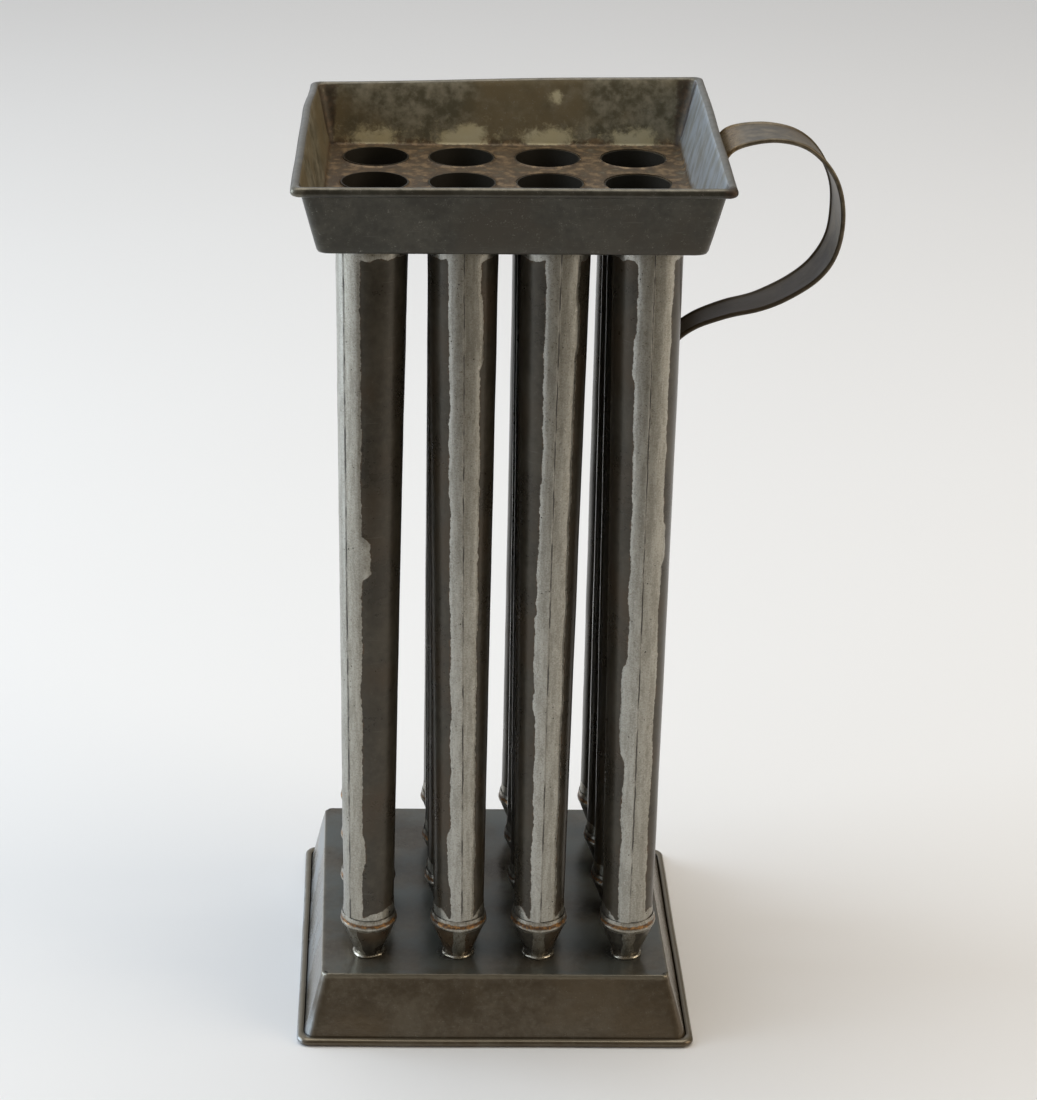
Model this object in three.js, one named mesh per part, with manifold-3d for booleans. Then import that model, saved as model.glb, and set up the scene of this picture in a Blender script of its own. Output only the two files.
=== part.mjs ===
// A tinsmith's candle mold: sixteen tapered tubes between a pouring tray and a splayed base.
// Units are millimetres, +Z is up, and the strap handle is on the +X side.
import * as THREE from 'three';
import { mergeVertices } from 'three/addons/utils/BufferGeometryUtils.js';
import Module from 'manifold-3d';

const wasm = await Module();
wasm.setup();

// Grid of tubes
const tubesPerSide = 4;
const tubePitch = 27.2;
const roundSides = 16;

// Sheet metal
const panSheet = 0.5;
const tubeSheet = 0.4;
const fitGap = 0.3;

// Base pan, standing on its wired rim
const baseRimWidth = 126;
const baseTopWidth = 110;
const baseHeight = 22;
const baseWireRadius = 1.2;

// Pouring tray
const trayBottomWidth = 112;
const trayRimWidth = 126;
const trayFloorZ = 260;
const trayTopZ = 280;
const trayWireRadius = 0.9;
const wireClearance = 0.15;

// Candle tubes: a rolled sheet with a lapped seam that stands proud by one sheet
const tubeBottomZ = 34;
const tubeTopZ = trayFloorZ + panSheet + 0.6;
const tubeBottomRadius = 7.9;
const tubeTopRadius = 10.4;
const seamEdgeTurn = THREE.MathUtils.degToRad(3);
const frontRowSeams = [205, 282, 270, 287];
const seamTurnPerRow = 74;

// Cone tips that close the tubes down to a wick hole
const tipMouthTopZ = 36.6;
const tipMouthRadius = tubeBottomRadius + tubeSheet + fitGap + 0.4;
const tipMouthBottomZ = 34.2;
const tipSeatZ = tubeBottomZ - fitGap;
const tipFootRadius = 4.2;
const tipFootZ = baseHeight + fitGap;
const tipNeckRadius = 2.9;
const tipNeckEndZ = baseHeight - 1.8;
const wickHoleRadius = 1.5;

// Strap handle: a tab under the tray rim, a finger loop, and a tab between two tubes
const handleRoute = [
  [60.2, 264.5], [61.4, 270.5], [63.1, 275.3], [65.6, 279.2], [71, 281.2], [79, 281.8], [87, 280.1],
  [93.2, 275.5], [97.8, 268], [99.7, 259], [98.7, 248], [94.5, 240], [87, 233.6], [77, 228.7],
  [66.5, 225.8], [57.5, 222], [51.3, 216.6], [48.4, 209.5], [47.5, 201],
];
const handleSteps = 40;
const handleWideHalf = 14;
const handleNarrowHalf = 5;
const handleTaperStart = 0.2;
const handleSheetHalf = 0.3;
const handleHemHalf = 0.65;
const handleHemWidth = 1.5;

// Finishes of the tinplate pieces
const finishes = {
  tray: { color: 0x45423a, roughness: 0.42, metalness: 0.85 },
  base: { color: 0x4a4238, roughness: 0.4, metalness: 0.85 },
  tube: { color: 0x6b6860, roughness: 0.36, metalness: 0.85 },
  tip: { color: 0x54473a, roughness: 0.45, metalness: 0.8 },
  wire: { color: 0x3b3833, roughness: 0.5, metalness: 0.85 },
  strap: { color: 0x4c4943, roughness: 0.4, metalness: 0.85 },
};

const mold = new THREE.Group();

function addPiece(name, geometry, finish) {
  const material = new THREE.MeshStandardMaterial(finishes[finish]);
  const mesh = new THREE.Mesh(geometry, material);
  mesh.name = name;
  mold.add(mesh);
  return mesh;
}

// Turn a closed three.js geometry into a manifold solid.
function toSolid(geometry) {
  const bare = geometry.clone();
  bare.deleteAttribute('normal');
  bare.deleteAttribute('uv');
  const merged = mergeVertices(bare, 1e-5);
  const vertProperties = new Float32Array(merged.attributes.position.array);
  const triVerts = new Uint32Array(merged.index.array);
  return new wasm.Manifold(new wasm.Mesh({ numProp: 3, vertProperties, triVerts }));
}

function fromSolid(solid) {
  const mesh = solid.getMesh();
  const geometry = new THREE.BufferGeometry();
  geometry.setAttribute('position', new THREE.BufferAttribute(mesh.vertProperties, 3));
  geometry.setIndex(new THREE.BufferAttribute(mesh.triVerts, 1));
  return geometry;
}

// Spin a profile of [distance, z] points about +Z.
function spunAboutZ(profile, sides) {
  const points = profile.map(([distance, z]) => new THREE.Vector2(distance, z));
  return new THREE.LatheGeometry(points, sides).rotateX(Math.PI / 2);
}

// A square, mitred shape: the profile's distances are half widths, measured square to the sides.
function squareFromProfile(profile) {
  const cornerProfile = profile.map(([half, z]) => [half * Math.SQRT2, z]);
  return spunAboutZ(cornerProfile, 4).rotateZ(Math.PI / 4);
}

// Points of a sheet edge curled round a wire. side is 1 over the top, or -1 underneath.
function curledEdge(wireHalf, wireZ, wireRadius, side) {
  const inner = wireRadius + wireClearance;
  const outer = inner + panSheet * 0.8;
  const turns = [157.5, 112.5, 67.5, 22.5, -22.5, -67.5, -112.5];
  const at = (radius, degrees) => {
    const angle = THREE.MathUtils.degToRad(degrees);
    return [wireHalf + radius * Math.cos(angle), wireZ + side * radius * Math.sin(angle)];
  };
  return {
    outerFace: turns.map((turn) => at(outer, turn)),
    wireFace: turns.map((turn) => at(inner, turn)).reverse(),
  };
}

// How far the flat sides of the eight-sided curl stand from the wire's centre.
function curlReach(wireRadius) {
  const outer = wireRadius + wireClearance + panSheet * 0.8;
  return outer * Math.cos(Math.PI / 8);
}

function wireLoop(wireHalf, wireZ, wireRadius) {
  const profile = [];
  for (let step = 0; step <= 8; step += 1) {
    const angle = Math.PI / 8 - (step * Math.PI) / 4;
    profile.push([wireHalf + wireRadius * Math.cos(angle), wireZ + wireRadius * Math.sin(angle)]);
  }
  return squareFromProfile(profile.reverse());
}

// Centres of the grid positions, row 1 at the front and column 1 at the left.
function gridPlaces() {
  const places = [];
  const offset = (tubesPerSide - 1) / 2;
  for (let row = 0; row < tubesPerSide; row += 1) {
    for (let column = 0; column < tubesPerSide; column += 1) {
      const x = (column - offset) * tubePitch;
      const y = (row - offset) * tubePitch;
      places.push({ row, column, x, y, label: `r${row + 1}_c${column + 1}` });
    }
  }
  return places;
}

function cutRoundHoles(geometry, radius, lowZ, highZ) {
  const middleZ = (lowZ + highZ) / 2;
  let solid = toSolid(geometry);
  for (const place of gridPlaces()) {
    const hole = new THREE.CylinderGeometry(radius, radius, highZ - lowZ, roundSides);
    hole.rotateX(Math.PI / 2).translate(place.x, place.y, middleZ);
    solid = solid.subtract(toSolid(hole));
  }
  return fromSolid(solid);
}

function addTray() {
  const reach = curlReach(trayWireRadius);
  const wireHalf = trayRimWidth / 2 - reach;
  const wireZ = trayTopZ - reach;
  const edge = curledEdge(wireHalf, wireZ, trayWireRadius, 1);
  const floorHalf = trayBottomWidth / 2;
  const profile = [
    [0, trayFloorZ],
    [floorHalf, trayFloorZ],
    ...edge.wireFace.reverse(),
    ...edge.outerFace.reverse(),
    [floorHalf - panSheet, trayFloorZ + panSheet],
    [0, trayFloorZ + panSheet],
  ];
  const pan = squareFromProfile(profile);
  const holeRadius = tubeTopRadius + tubeSheet + fitGap;
  const drilled = cutRoundHoles(pan, holeRadius, trayFloorZ - 1, trayFloorZ + panSheet + 1);
  addPiece('tray_pan', drilled, 'tray');
  addPiece('tray_rim_wire', wireLoop(wireHalf, wireZ, trayWireRadius), 'wire');
}

function addBase() {
  const reach = curlReach(baseWireRadius);
  const wireHalf = baseRimWidth / 2 - reach;
  const edge = curledEdge(wireHalf, reach, baseWireRadius, -1);
  const topHalf = baseTopWidth / 2;
  const profile = [
    [0, baseHeight - panSheet],
    [topHalf - panSheet, baseHeight - panSheet],
    ...edge.outerFace,
    ...edge.wireFace,
    [topHalf, baseHeight],
    [0, baseHeight],
  ];
  const pan = squareFromProfile(profile);
  const drilled = cutRoundHoles(pan, tipNeckRadius + fitGap, baseHeight - 2, baseHeight + 1);
  addPiece('base_pan', drilled, 'base');
  addPiece('base_rim_wire', wireLoop(wireHalf, reach, baseWireRadius), 'wire');
}

// Join equal-length rings of points into a skin; a loop joins the last ring to the first.
function skinRings(rings, isLoop) {
  const count = rings[0].length;
  const index = [];
  const spans = isLoop ? rings.length : rings.length - 1;
  for (let ring = 0; ring < spans; ring += 1) {
    const here = ring * count;
    const next = ((ring + 1) % rings.length) * count;
    for (let i = 0; i < count; i += 1) {
      const j = (i + 1) % count;
      index.push(here + i, here + j, next + j);
      index.push(here + i, next + j, next + i);
    }
  }
  const geometry = new THREE.BufferGeometry().setFromPoints(rings.flat());
  geometry.setIndex(index);
  return geometry;
}

// One turn of the rolled sheet, rising by its own thickness into the lapped seam.
function seamedRing(radius, z, isOuter) {
  const ring = [];
  for (let side = 0; side <= roundSides; side += 1) {
    const turn = side === 0 ? seamEdgeTurn : (side / roundSides) * 2 * Math.PI;
    const lapRise = Math.max(0, side - roundSides + 2) / 2;
    const distance = isOuter ? radius + tubeSheet * lapRise : radius - tubeSheet;
    ring.push(new THREE.Vector3(distance * Math.cos(turn), distance * Math.sin(turn), z));
  }
  return ring;
}

function tubeGeometry() {
  const rings = [
    seamedRing(tubeBottomRadius, tubeBottomZ, true),
    seamedRing(tubeTopRadius, tubeTopZ, true),
    seamedRing(tubeTopRadius, tubeTopZ, false),
    seamedRing(tubeBottomRadius, tubeBottomZ, false),
  ];
  return skinRings(rings, true);
}

function tipGeometry() {
  const mouthInner = tipMouthRadius - 0.4;
  const profile = [
    [wickHoleRadius, tipNeckEndZ],
    [tipNeckRadius, tipNeckEndZ],
    [tipNeckRadius, tipFootZ],
    [tipFootRadius, tipFootZ],
    [tipMouthRadius, tipMouthBottomZ],
    [tipMouthRadius, tipMouthTopZ],
    [mouthInner, tipMouthTopZ],
    [mouthInner, tipSeatZ],
    [wickHoleRadius, tipFootZ + 1],
    [wickHoleRadius, tipNeckEndZ],
  ];
  return spunAboutZ(profile, roundSides);
}

// The front row's seams are set by hand; each row behind turns them on by a fixed angle.
function seamAngle(row, column) {
  return THREE.MathUtils.degToRad(frontRowSeams[column] + row * seamTurnPerRow);
}

function addTubesAndTips() {
  for (const place of gridPlaces()) {
    const tube = addPiece(`tube_${place.label}`, tubeGeometry(), 'tube');
    tube.position.set(place.x, place.y, 0);
    tube.rotation.z = seamAngle(place.row, place.column);
    const tip = addPiece(`tip_${place.label}`, tipGeometry(), 'tip');
    tip.position.set(place.x, place.y, 0);
    tip.rotation.z = tube.rotation.z;
  }
}

// Half width of the strap at a fraction of its length.
function strapHalfWidth(fraction) {
  const taper = Math.max(0, fraction - handleTaperStart) / (1 - handleTaperStart);
  return THREE.MathUtils.lerp(handleWideHalf, handleNarrowHalf, taper);
}

// Outline of the strap across its length: a thin sheet with a thicker hem along each edge.
function strapSection(halfWidth) {
  const inside = halfWidth - handleHemWidth;
  const upper = [
    [halfWidth, handleHemHalf],
    [inside, handleHemHalf],
    [inside, handleSheetHalf],
    [-inside, handleSheetHalf],
    [-inside, handleHemHalf],
    [-halfWidth, handleHemHalf],
  ];
  const lower = upper.map(([across, up]) => [-across, -up]);
  return [...upper, ...lower];
}

function addHandle() {
  const route = new THREE.CatmullRomCurve3(handleRoute.map(([x, z]) => new THREE.Vector3(x, 0, z)));
  const rings = [];
  for (let step = 0; step <= handleSteps; step += 1) {
    const fraction = step / handleSteps;
    const centre = route.getPointAt(fraction);
    const along = route.getTangentAt(fraction);
    const outward = new THREE.Vector3(-along.z, 0, along.x);
    const section = strapSection(strapHalfWidth(fraction));
    rings.push(section.map(([across, up]) => {
      const point = centre.clone().addScaledVector(outward, up);
      point.y = across;
      return point;
    }));
  }
  const strap = skinRings(rings, false);
  addPiece('handle_strap', closeEnds(strap, rings), 'strap');
}

// Fill the two open ends of a skin with flat faces.
function closeEnds(geometry, rings) {
  const count = rings[0].length;
  const outline = strapSection(handleWideHalf).map(([across, up]) => new THREE.Vector2(across, up));
  const faces = THREE.ShapeUtils.triangulateShape(outline, []);
  const lastRing = (rings.length - 1) * count;
  const index = Array.from(geometry.index.array);
  for (const [a, b, c] of faces) {
    index.push(c, b, a);
    index.push(lastRing + a, lastRing + b, lastRing + c);
  }
  geometry.setIndex(index);
  return geometry;
}

addTray();
addBase();
addTubesAndTips();
addHandle();

// The origin is at the middle of the whole object's footprint, at the level it stands on.
const footprint = new THREE.Box3().setFromObject(mold).getCenter(new THREE.Vector3());
mold.position.set(-footprint.x, -footprint.y, 0);

export default mold;
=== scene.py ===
from math import copysign, cos, exp, pi, radians, sin

import bpy
import bmesh
from mathutils import Matrix, Vector, noise


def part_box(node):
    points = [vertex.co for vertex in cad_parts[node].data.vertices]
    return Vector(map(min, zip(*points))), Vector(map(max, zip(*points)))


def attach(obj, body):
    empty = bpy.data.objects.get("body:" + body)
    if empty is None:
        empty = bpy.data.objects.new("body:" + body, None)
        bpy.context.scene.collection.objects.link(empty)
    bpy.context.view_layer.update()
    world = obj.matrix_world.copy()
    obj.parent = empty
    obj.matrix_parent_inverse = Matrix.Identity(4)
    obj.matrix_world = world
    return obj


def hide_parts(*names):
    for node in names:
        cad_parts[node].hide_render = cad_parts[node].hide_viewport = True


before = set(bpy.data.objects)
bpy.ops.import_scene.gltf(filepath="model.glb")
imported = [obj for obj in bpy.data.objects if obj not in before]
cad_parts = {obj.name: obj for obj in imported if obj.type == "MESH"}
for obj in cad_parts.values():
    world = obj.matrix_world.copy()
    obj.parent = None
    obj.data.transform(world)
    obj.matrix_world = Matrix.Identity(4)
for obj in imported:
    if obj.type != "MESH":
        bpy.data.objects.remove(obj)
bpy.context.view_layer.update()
print("frame loaded:", len(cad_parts), "nodes")

mm = 0.001
baseLow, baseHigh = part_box("base_pan")
trayLow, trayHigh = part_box("tray_pan")
middle = (baseLow + baseHigh) / 2      # centre line of the tube grid
gridCount = 4
boxes = {name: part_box(name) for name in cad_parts}
tubeLow, tubeHigh = (corner.z / mm for corner in boxes["tube_r1_c1"])


def smoothStep(low, high, value):
    t = min(max((value - low) / (high - low), 0.0), 1.0)
    return t * t * (3 - 2 * t)


def ripple(x, y=0.0, z=0.0):    # smooth noise from -1 to 1
    return noise.noise(Vector((x, y, z)))


def ringRipple(angle, waves, z):    # the same round a circle, so that it closes on itself
    return ripple(cos(angle) * waves, sin(angle) * waves, z)


def gridNames():
    return [(row, column) for row in range(1, gridCount + 1) for column in range(1, gridCount + 1)]


def gridSpot(row, column):    # centre of one grid position, in millimetres
    low, high = boxes[f"tip_r{row}_c{column}"]
    centre = (low + high) / 2 - middle
    return Vector((centre.x / mm, centre.y / mm, 0.0))


spots = {(row, column): gridSpot(row, column) for row, column in gridNames()}
gridPitch = (spots[(1, gridCount)].x - spots[(1, 1)].x) / (gridCount - 1)


def place(row, column):
    return spots[(row, column)]


def addObject(name, data):
    thing = bpy.data.objects.new(name, data)
    bpy.context.scene.collection.objects.link(thing)
    return thing


def meshPiece(name, points, faces, marks=None, sharpAngle=35):
    mesh = bpy.data.meshes.new(name)
    centre = Vector((middle.x, middle.y, 0.0))
    mesh.from_pydata([Vector(p) * mm + centre for p in points], [], faces)
    for label, values in (marks or {}).items():
        layer = mesh.attributes.new(label, "FLOAT", "POINT")
        layer.data.foreach_set("value", values)
    work = bmesh.new()
    work.from_mesh(mesh)
    bmesh.ops.remove_doubles(work, verts=work.verts, dist=0.002 * mm)
    bmesh.ops.recalc_face_normals(work, faces=work.faces)
    work.to_mesh(mesh)
    work.free()
    mesh.shade_smooth()
    mesh.set_sharp_from_angle(angle=radians(sharpAngle))
    return addObject(name, mesh)


def dress(piece, material, slot, *nodes):
    piece.data.materials.append(material)
    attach(piece, "root")
    if nodes:
        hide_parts(*nodes)


def roundPoint(centre, angle, distance, z):    # a point on a level circle
    return centre + Vector((distance * cos(angle), distance * sin(angle), z))


def ringFaces(ringCount, pointCount, loop=False, first=0):
    faces = []
    spans = ringCount if loop else ringCount - 1
    for ring in range(spans):
        here = first + ring * pointCount
        there = first + ((ring + 1) % ringCount) * pointCount
        for i in range(pointCount):
            j = (i + 1) % pointCount
            faces.append((here + i, here + j, there + j, there + i))
    return faces


# camera, first, so every look is judged from the same spot
cameraSet = {
    "place": (-25.2, -880.7, 528.9),   # millimetres from the foot of the centre line
    "turn": 1.994,                     # degrees to the right of straight ahead
    "tilt": 23.557,                    # degrees down
    "roll": 1.32,
    "lens": 99.33,
}


def addCamera():
    data = bpy.data.cameras.new("camera")
    data.lens = cameraSet["lens"]
    data.clip_start = 0.05
    camera = addObject("camera", data)
    turn = Matrix.Rotation(radians(-cameraSet["turn"]), 4, "Z")
    tilt = Matrix.Rotation(radians(90 - cameraSet["tilt"]), 4, "X")
    roll = Matrix.Rotation(radians(cameraSet["roll"]), 4, "Z")
    spot = Vector(cameraSet["place"]) * mm + Vector((middle.x, middle.y, 0.0))
    camera.matrix_world = Matrix.Translation(spot) @ turn @ tilt @ roll
    bpy.context.scene.camera = camera


addCamera()
print("camera set")


# shader helpers
def addNode(tree, kind, **settings):
    node = tree.nodes.new(kind)
    for name, value in settings.items():
        setattr(node, name, value)
    return node


def feed(tree, socket, source):    # a link from a socket, or a plain value
    if hasattr(source, "is_linked"):
        tree.links.new(source, socket)
    elif source is not None:
        socket.default_value = source


def maths(tree, operation, first, second=None, clamp=False):
    node = addNode(tree, "ShaderNodeMath", operation=operation, use_clamp=clamp)
    for socket, source in zip(node.inputs, (first, second)):
        feed(tree, socket, source)
    return node.outputs[0]


def times(tree, first, second):
    return maths(tree, "MULTIPLY", first, second)


def mixColour(tree, factor, first, second, blend="MIX"):
    node = addNode(tree, "ShaderNodeMix", data_type="RGBA", blend_type=blend)
    feed(tree, node.inputs[0], factor)
    feed(tree, node.inputs[6], first)
    feed(tree, node.inputs[7], second)
    return node.outputs[2]


def mixValue(tree, factor, first, second):
    node = addNode(tree, "ShaderNodeMix", data_type="FLOAT")
    feed(tree, node.inputs[0], factor)
    feed(tree, node.inputs[2], first)
    feed(tree, node.inputs[3], second)
    return node.outputs[0]


def span(tree, value, fromLow, fromHigh, toLow=0.0, toHigh=1.0):
    node = addNode(tree, "ShaderNodeMapRange", interpolation_type="SMOOTHSTEP")
    for socket, source in zip(node.inputs, (value, fromLow, fromHigh, toLow, toHigh)):
        feed(tree, socket, source)
    return node.outputs[0]


def millimetres(tree, stretch=(1, 1, 1)):   # the surface point in millimetres
    coordinate = addNode(tree, "ShaderNodeTexCoord")
    scale = addNode(tree, "ShaderNodeVectorMath", operation="MULTIPLY")
    tree.links.new(coordinate.outputs["Object"], scale.inputs[0])
    scale.inputs[1].default_value = [1000 * s for s in stretch]
    return scale.outputs[0]


def grainy(tree, vector, size, detail=3.0, roughness=0.55, distortion=0.0):
    node = addNode(tree, "ShaderNodeTexNoise")
    tree.links.new(vector, node.inputs["Vector"])
    perSize = maths(tree, "DIVIDE", 1.0, size) if hasattr(size, "is_linked") else 1.0 / size
    feed(tree, node.inputs["Scale"], perSize)
    node.inputs["Detail"].default_value = detail
    node.inputs["Roughness"].default_value = roughness
    node.inputs["Distortion"].default_value = distortion
    return node.outputs["Fac"]


def axisOf(tree, vector, axis):
    parts = addNode(tree, "ShaderNodeSeparateXYZ")
    tree.links.new(vector, parts.inputs[0])
    return parts.outputs[axis]


def mark(tree, name):
    return addNode(tree, "ShaderNodeAttribute", attribute_name=name).outputs["Fac"]


def newGroup(name, inputs, outputs):
    tree = bpy.data.node_groups.new(name, "ShaderNodeTree")
    for label, kind, value in inputs:
        tree.interface.new_socket(label, in_out="INPUT", socket_type=kind).default_value = value
    for label, kind in outputs:
        tree.interface.new_socket(label, in_out="OUTPUT", socket_type=kind)
    return tree, addNode(tree, "NodeGroupInput").outputs, addNode(tree, "NodeGroupOutput").inputs


def useGroup(tree, group, **values):
    node = addNode(tree, "ShaderNodeGroup", node_tree=group)
    for label, value in values.items():
        feed(tree, node.inputs[label], value)
    return node.outputs


colourKind, numberKind = "NodeSocketColor", "NodeSocketFloat"


# shared effects
def patinaGroup():    # old tinplate: cloudy browns and greys, pale specks, fine rubs
    tree, given, result = newGroup("tinPatina", [
        ("Dark", colourKind, (0.05, 0.045, 0.035, 1)),
        ("Light", colourKind, (0.1, 0.095, 0.085, 1)),
        ("Brown", colourKind, (0.09, 0.06, 0.035, 1)),
        ("Cloud", numberKind, 14.0),
        ("Specks", numberKind, 0.5),
        ("Rough", numberKind, 0.4),
    ], [("Color", colourKind), ("Roughness", numberKind), ("Height", numberKind)])
    point = millimetres(tree)
    cloud = grainy(tree, point, given["Cloud"], 5.0, 0.6)
    mottle = grainy(tree, point, 2.2, 4.0, 0.6)
    fine = grainy(tree, point, 0.45, 2.0)
    rub = grainy(tree, millimetres(tree, (0.12, 0.12, 1.6)), 1.1, 2.0)
    tone = maths(tree, "ADD", times(tree, cloud, 0.65), times(tree, mottle, 0.35))
    body = mixColour(tree, span(tree, tone, 0.38, 0.64), given["Dark"], given["Light"])
    browned = mixColour(tree, span(tree, grainy(tree, point, 23.0, 3.0), 0.45, 0.7), body, given["Brown"])
    speckMask = times(tree, span(tree, fine, 0.58, 0.72), given["Specks"])
    speckMask = times(tree, speckMask, span(tree, mottle, 0.46, 0.66))
    speckled = mixColour(tree, times(tree, speckMask, 0.6), browned, (0.3, 0.29, 0.25, 1))
    rubMask = times(tree, span(tree, rub, 0.66, 0.74), 0.09)
    tree.links.new(mixColour(tree, rubMask, speckled, (0.26, 0.25, 0.22, 1)), result["Color"])
    spread = times(tree, maths(tree, "SUBTRACT", tone, 0.5), 0.35)
    tree.links.new(maths(tree, "ADD", given["Rough"], spread, clamp=True), result["Roughness"])
    height = maths(tree, "ADD", times(tree, cloud, 0.9), times(tree, mottle, 0.16))
    tree.links.new(maths(tree, "ADD", height, times(tree, fine, 0.05)), result["Height"])
    return tree


def solderGroup():    # wiped solder: pale grey, softly lumpy, pitted, with dark specks
    tree, given, result = newGroup("wipedSolder", [
        ("Pale", colourKind, (0.42, 0.41, 0.38, 1)),
        ("Dull", colourKind, (0.27, 0.26, 0.23, 1)),
        ("Pits", numberKind, 0.6),
        ("Rough", numberKind, 0.34),
    ], [("Color", colourKind), ("Roughness", numberKind), ("Height", numberKind)])
    point = millimetres(tree)
    flow = grainy(tree, millimetres(tree, (1.0, 1.0, 0.14)), 1.5, 4.0, 0.6)
    dirt = grainy(tree, point, 1.2, 4.0, 0.65)
    cells = addNode(tree, "ShaderNodeTexVoronoi")
    tree.links.new(point, cells.inputs["Vector"])
    cells.inputs["Scale"].default_value = 0.55
    spotSize = span(tree, grainy(tree, point, 5.0), 0.4, 0.75, 0.03, 0.16)
    pit = times(tree, maths(tree, "LESS_THAN", cells.outputs["Distance"], spotSize), given["Pits"])
    fine = grainy(tree, point, 0.5, 3.0, 0.6)
    tone = maths(tree, "ADD", times(tree, flow, 0.5), times(tree, fine, 0.5))
    body = mixColour(tree, span(tree, tone, 0.4, 0.6), given["Dull"], given["Pale"])
    dirty = mixColour(tree, span(tree, dirt, 0.58, 0.76, 0.0, 0.5), body, (0.12, 0.1, 0.075, 1))
    tree.links.new(mixColour(tree, pit, dirty, (0.05, 0.042, 0.035, 1)), result["Color"])
    spread = times(tree, maths(tree, "SUBTRACT", dirt, 0.5), 0.5)
    rough = maths(tree, "ADD", given["Rough"], spread)
    pitted = maths(tree, "ADD", rough, times(tree, pit, 0.3), clamp=True)
    tree.links.new(pitted, result["Roughness"])
    height = maths(tree, "SUBTRACT", times(tree, flow, 0.6), times(tree, pit, 0.5))
    tree.links.new(maths(tree, "ADD", height, times(tree, dirt, 0.25)), result["Height"])
    return tree


def edgeGroup():    # a distance in millimetres becomes a mask with a ragged edge
    tree, given, result = newGroup("raggedEdge", [
        ("Distance", numberKind, 0.0),
        ("Ragged", numberKind, 0.5),
        ("Grain", numberKind, 1.2),
        ("Soft", numberKind, 0.12),
    ], [("Mask", numberKind)])
    grain = grainy(tree, millimetres(tree), given["Grain"], 4.0, 0.5)
    shift = times(tree, maths(tree, "SUBTRACT", grain, 0.5), given["Ragged"])
    value = maths(tree, "ADD", given["Distance"], shift)
    low = times(tree, given["Soft"], -1.0)
    tree.links.new(span(tree, value, low, given["Soft"]), result["Mask"])
    return tree


def rustGroup():    # dark brown to orange, thickest where Amount is high
    tree, given, result = newGroup("rustStain", [
        ("Amount", numberKind, 0.5),
        ("Grain", numberKind, 1.6),
        ("Deep", colourKind, (0.045, 0.022, 0.012, 1)),
        ("Bright", colourKind, (0.3, 0.11, 0.03, 1)),
    ], [("Color", colourKind), ("Mask", numberKind)])
    grain = grainy(tree, millimetres(tree), given["Grain"], 5.0, 0.65)
    level = maths(tree, "ADD", given["Amount"], maths(tree, "SUBTRACT", grain, 0.5))
    tree.links.new(span(tree, level, 0.35, 0.75), result["Mask"])
    colour = mixColour(tree, span(tree, grain, 0.42, 0.68), given["Deep"], given["Bright"])
    tree.links.new(colour, result["Color"])
    return tree


patina, solder, ragged, rust = patinaGroup(), solderGroup(), edgeGroup(), rustGroup()


def raggedMask(tree, distance, jag, grain, soft):
    return useGroup(tree, ragged, Distance=distance, Ragged=jag, Grain=grain, Soft=soft)["Mask"]


class Finish:    # one metal material being put together, layer by layer
    def __init__(self, name, metal, body):
        self.material = bpy.data.materials.new(name)
        self.material.use_nodes = True
        self.tree = self.material.node_tree
        self.shader = self.tree.nodes["Principled BSDF"]
        self.metal = metal
        made = useGroup(self.tree, patina, **body)
        self.colour, self.rough, self.height = made["Color"], made["Roughness"], made["Height"]

    def layer(self, mask, colour, rough=None, height=None, metal=None):
        tree = self.tree
        self.colour = mixColour(tree, mask, self.colour, colour)
        if rough is not None:
            self.rough = mixValue(tree, mask, self.rough, rough)
        if height is not None:
            self.height = mixValue(tree, mask, self.height, height)
        if metal is not None:
            self.metal = mixValue(tree, mask, self.metal, metal)

    def stain(self, amount, grain, deep, bright, strength, rough):
        made = useGroup(self.tree, rust, Amount=amount, Grain=grain, Deep=deep, Bright=bright)
        self.layer(times(self.tree, made["Mask"], strength), made["Color"], rough)

    def wipe(self, mask, pale, dull, pits, rough, metal=None):    # solder
        made = useGroup(self.tree, solder, Pale=pale, Dull=dull, Pits=pits, Rough=rough)
        self.layer(mask, made["Color"], made["Roughness"], made["Height"], metal)

    def close(self, depth):    # depth of the relief in millimetres
        tree = self.tree
        bump = addNode(tree, "ShaderNodeBump")
        bump.inputs["Strength"].default_value = 1.0
        bump.inputs["Distance"].default_value = depth * mm
        feed(tree, bump.inputs["Height"], self.height)
        feed(tree, self.shader.inputs["Base Color"], self.colour)
        feed(tree, self.shader.inputs["Roughness"], self.rough)
        feed(tree, self.shader.inputs["Metallic"], self.metal)
        tree.links.new(bump.outputs["Normal"], self.shader.inputs["Normal"])
        return self.material


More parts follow.
